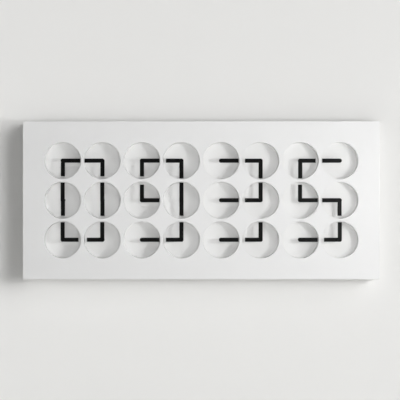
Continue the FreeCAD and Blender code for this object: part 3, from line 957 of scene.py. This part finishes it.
def make_button(node):
    """A push button with softened edges, a shallow dish and the flange that keeps it in."""
    low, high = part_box(node)
    middle, flange_half = plan_of(low, high)
    bottom, top = low[2], high[2]
    half_x, half_y = flange_half[0] - FLANGE, flange_half[1] - FLANGE
    flange_base = top - FLANGE
    bm = bmesh.new()
    stations = [
        (half_x - inset_x, half_y - inset_y, corner, bottom + height)
        for inset_x, inset_y, corner, height in BUTTON_FACE
    ]
    stations += [
        (half_x, half_y, FITTING_CORNER, bottom + BUTTON_EDGE),
        (half_x, half_y, FITTING_CORNER, flange_base),
        (*flange_half, FITTING_CORNER, flange_base),
        (*flange_half, FITTING_CORNER, top),
    ]
    loops = [level_loop(bm, rounded_rectangle(a, b, corner), middle, z) for a, b, corner, z in stations]
    skin(bm, loops)
    cap(bm, loops[0])
    cap(bm, loops[-1])
    return finish_mesh(f"{node}_cap", bm, grey_button)


barrel = make_socket()
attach(barrel, "root")
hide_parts("power_inlet")
for node in BUTTONS:
    button = make_button(node)
    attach(button, node)
    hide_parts(node)

# Wall and floor
WALL_Y = 0.0002
WALL_HALF = 5.0
FLOOR_Z = -1.25
FLOOR_HALF_WIDTH = 7.0
FLOOR_FRONT_Y = -9.0
FLOOR_BACK_Y = 7.0
HOLE_INSET = 0.002
FRONT_LEVEL = 0.01
BACK_LEVEL = 0.85
SEEN_LEVEL = 0.8


def sheet(name, corners, material, hole=None):
    """A flat backdrop, with an opening in it when a second loop of corners is given."""
    bm = bmesh.new()
    outline = add_loop(bm, corners)
    if hole:
        bridge(bm, outline, add_loop(bm, hole))
    else:
        bm.faces.new(outline)
    mesh = bpy.data.meshes.new(name)
    bm.to_mesh(mesh)
    bm.free()
    mesh.materials.append(material)
    thing = new_object(name, mesh)
    return thing


def one_sided_paint(name, colour, evened):
    """Matt paint; a look at the back of the sheet goes through it.

    Evened is the share of a plain pale tone that the camera sees in place of the lit paint.
    """
    material = bpy.data.materials.new(name)
    material.use_nodes = True
    tree = material.node_tree
    shader = next(n for n in tree.nodes if n.type == "BSDF_PRINCIPLED")
    out = next(n for n in tree.nodes if n.type == "OUTPUT_MATERIAL")
    shader.inputs["Roughness"].default_value = 0.95
    shader.inputs["Specular IOR Level"].default_value = 0.1
    paint = tree.nodes.new("ShaderNodeRGB").outputs["Color"]
    paint.default_value = (*colour, 1.0)
    stipple = noise(tree, object_place(tree), scale=420.0, detail=3.0)
    wire(tree, tint(tree, paint, spread(tree, stipple, 0.995, 1.005)), shader.inputs["Base Color"])
    relief = tree.nodes.new("ShaderNodeBump")
    relief.inputs["Strength"].default_value = 0.05
    relief.inputs["Distance"].default_value = 0.001
    wire(tree, stipple, relief.inputs["Height"])
    wire(tree, relief.outputs["Normal"], shader.inputs["Normal"])
    plain = tree.nodes.new("ShaderNodeEmission")
    plain.inputs["Strength"].default_value = SEEN_LEVEL
    seen = maths(tree, "MULTIPLY", tree.nodes.new("ShaderNodeLightPath").outputs["Is Camera Ray"], evened)
    front = mix_shaders(tree, seen, shader.outputs["BSDF"], plain.outputs["Emission"])
    clear = tree.nodes.new("ShaderNodeBsdfTransparent").outputs["BSDF"]
    behind = tree.nodes.new("ShaderNodeNewGeometry").outputs["Backfacing"]
    wire(tree, mix_shaders(tree, behind, front, clear), out.inputs["Surface"])
    return material


wall_paint = one_sided_paint("wall_paint", (0.885, 0.882, 0.868), evened=0.0)
floor_paint = one_sided_paint("floor_paint", (0.8, 0.8, 0.79), evened=0.6)
hole_x, hole_z = HALF_WIDTH - HOLE_INSET, HALF_HEIGHT - HOLE_INSET
wall = sheet(
    "backdrop_wall",
    [
        (-WALL_HALF, WALL_Y, FLOOR_Z),
        (WALL_HALF, WALL_Y, FLOOR_Z),
        (WALL_HALF, WALL_Y, WALL_HALF),
        (-WALL_HALF, WALL_Y, WALL_HALF),
    ],
    wall_paint,
    hole=[
        (-hole_x, WALL_Y, -hole_z),
        (hole_x, WALL_Y, -hole_z),
        (hole_x, WALL_Y, hole_z),
        (-hole_x, WALL_Y, hole_z),
    ],
)
sheet(
    "floor",
    [
        (-FLOOR_HALF_WIDTH, FLOOR_FRONT_Y, FLOOR_Z),
        (FLOOR_HALF_WIDTH, FLOOR_FRONT_Y, FLOOR_Z),
        (FLOOR_HALF_WIDTH, FLOOR_BACK_Y, FLOOR_Z),
        (-FLOOR_HALF_WIDTH, FLOOR_BACK_Y, FLOOR_Z),
    ],
    floor_paint,
)


# Light


def studio_world():
    """Plain room light, dim from the face's side, where the lamps do the work, and a pale backdrop."""
    world = bpy.data.worlds.new("studio")
    world.use_nodes = True
    tree = world.node_tree
    background = next(n for n in tree.nodes if n.type == "BACKGROUND")
    background.inputs["Color"].default_value = (1.0, 1.0, 1.0, 1.0)
    direction = tree.nodes.new("ShaderNodeTexCoord").outputs["Generated"]
    split = tree.nodes.new("ShaderNodeSeparateXYZ")
    wire(tree, direction, split.inputs["Vector"])
    level = tree.nodes.new("ShaderNodeMapRange")
    level.inputs["From Min"].default_value = -0.05
    level.inputs["From Max"].default_value = 0.1
    level.inputs["To Min"].default_value = FRONT_LEVEL
    level.inputs["To Max"].default_value = BACK_LEVEL
    wire(tree, split.outputs["Y"], level.inputs["Value"])
    seen = tree.nodes.new("ShaderNodeMix")
    seen.inputs["B"].default_value = SEEN_LEVEL
    wire(tree, tree.nodes.new("ShaderNodeLightPath").outputs["Is Camera Ray"], seen.inputs["Factor"])
    wire(tree, level.outputs["Result"], seen.inputs["A"])
    wire(tree, seen.outputs["Result"], background.inputs["Strength"])
    bpy.context.scene.world = world


def lamp_reach(name, state):
    """What a lamp reaches: the wall alone (INCLUDE) or everything but the wall (EXCLUDE)."""
    chosen = bpy.data.collections.new(name)
    chosen.objects.link(wall)
    chosen.collection_objects[0].light_linking.link_state = state
    return chosen


def place_lamp(name, lamp, place, reach, gloss):
    """A lamp that faces the clock; gloss says whether it leaves a highlight."""
    thing = bpy.data.objects.new(name, lamp)
    bpy.context.scene.collection.objects.link(thing)
    thing.location = place
    aim = Vector((0.0, FACE_Y, 0.0)) - Vector(place)
    thing.rotation_euler = aim.to_track_quat("-Z", "Z").to_euler()
    thing.visible_camera = False
    thing.visible_glossy = gloss
    if reach is not None:
        thing.light_linking.receiver_collection = reach


def softbox(name, place, width, height, power, reach):
    lamp = bpy.data.lights.new(name, "AREA")
    lamp.shape = "RECTANGLE"
    lamp.size = width
    lamp.size_y = height
    lamp.energy = power
    place_lamp(name, lamp, place, reach, gloss=False)


def round_lamp(name, place, radius, power, reach=None, falloff="Quadratic"):
    """A round lamp; with Constant falloff its light doesn't weaken with distance."""
    lamp = bpy.data.lights.new(name, "POINT")
    lamp.shadow_soft_size = radius
    lamp.energy = power
    lamp.use_nodes = True
    tree = lamp.node_tree
    emission = next(n for n in tree.nodes if n.type == "EMISSION")
    weakening = tree.nodes.new("ShaderNodeLightFalloff")
    weakening.inputs["Strength"].default_value = 1.0
    wire(tree, weakening.outputs[falloff], emission.inputs["Strength"])
    place_lamp(name, lamp, place, reach, gloss=True)


def far_lamp(name, place, disc, strength, reach):
    """A lamp so far off that its light is even; disc is the width that it shows, in degrees."""
    lamp = bpy.data.lights.new(name, "SUN")
    lamp.angle = math.radians(disc)
    lamp.energy = strength
    place_lamp(name, lamp, place, reach, gloss=False)


# The face brightens to the right and the wall behind it doesn't, so the wall has lamps of its own
studio_world()
all_but_wall = lamp_reach("all_but_wall", "EXCLUDE")
wall_only = lamp_reach("wall_only", "INCLUDE")
LEFT_PLACE = (-3.0, -1.4, 0.0)
round_lamp("key", (1.031, -0.951, 0.048), radius=0.15, power=9.0, falloff="Constant")
round_lamp("near_key", (0.8, -0.75, 0.04), radius=0.12, power=4.5, reach=all_but_wall)
softbox("right_fill", (2.6, -1.6, 0.0), width=1.2, height=2.0, power=7.6, reach=all_but_wall)
softbox("front_fill", (0.0, -3.2, 0.0), width=1.6, height=1.6, power=27.5, reach=all_but_wall)
softbox("top_fill", (0.0, -2.2, 2.2), width=1.4, height=1.4, power=19.0, reach=all_but_wall)
softbox("left_fill", LEFT_PLACE, width=1.6, height=2.4, power=1.5, reach=all_but_wall)
far_lamp("wall_key", (1.6, -1.05, 0.07), disc=40.0, strength=1.75, reach=wall_only)
far_lamp("wall_upper_key", (1.6, -1.05, 1.0), disc=30.0, strength=1.2, reach=wall_only)
softbox("wall_left_fill", LEFT_PLACE, width=1.6, height=2.4, power=17.3, reach=wall_only)

# Camera, straight in front of the face
CAMERA_DISTANCE = 3.05
METRES_PER_PIXEL = 0.002811
IMAGE_PIXELS = 400
SHIFT_X_PIXELS = -1.23
SHIFT_Y_PIXELS = 0.23
SENSOR_WIDTH = 36.0
camera_data = bpy.data.cameras.new("camera")
camera_data.sensor_width = SENSOR_WIDTH
camera_data.lens = SENSOR_WIDTH * CAMERA_DISTANCE / (IMAGE_PIXELS * METRES_PER_PIXEL)
camera_data.shift_x = SHIFT_X_PIXELS / IMAGE_PIXELS
camera_data.shift_y = SHIFT_Y_PIXELS / IMAGE_PIXELS
camera = bpy.data.objects.new("camera", camera_data)
bpy.context.scene.collection.objects.link(camera)
camera.location = (0.0, FACE_Y - CAMERA_DISTANCE, 0.0)
camera.rotation_euler = (math.pi / 2, 0.0, 0.0)
bpy.context.scene.camera = camera
bpy.context.scene.view_settings.view_transform = "Standard"
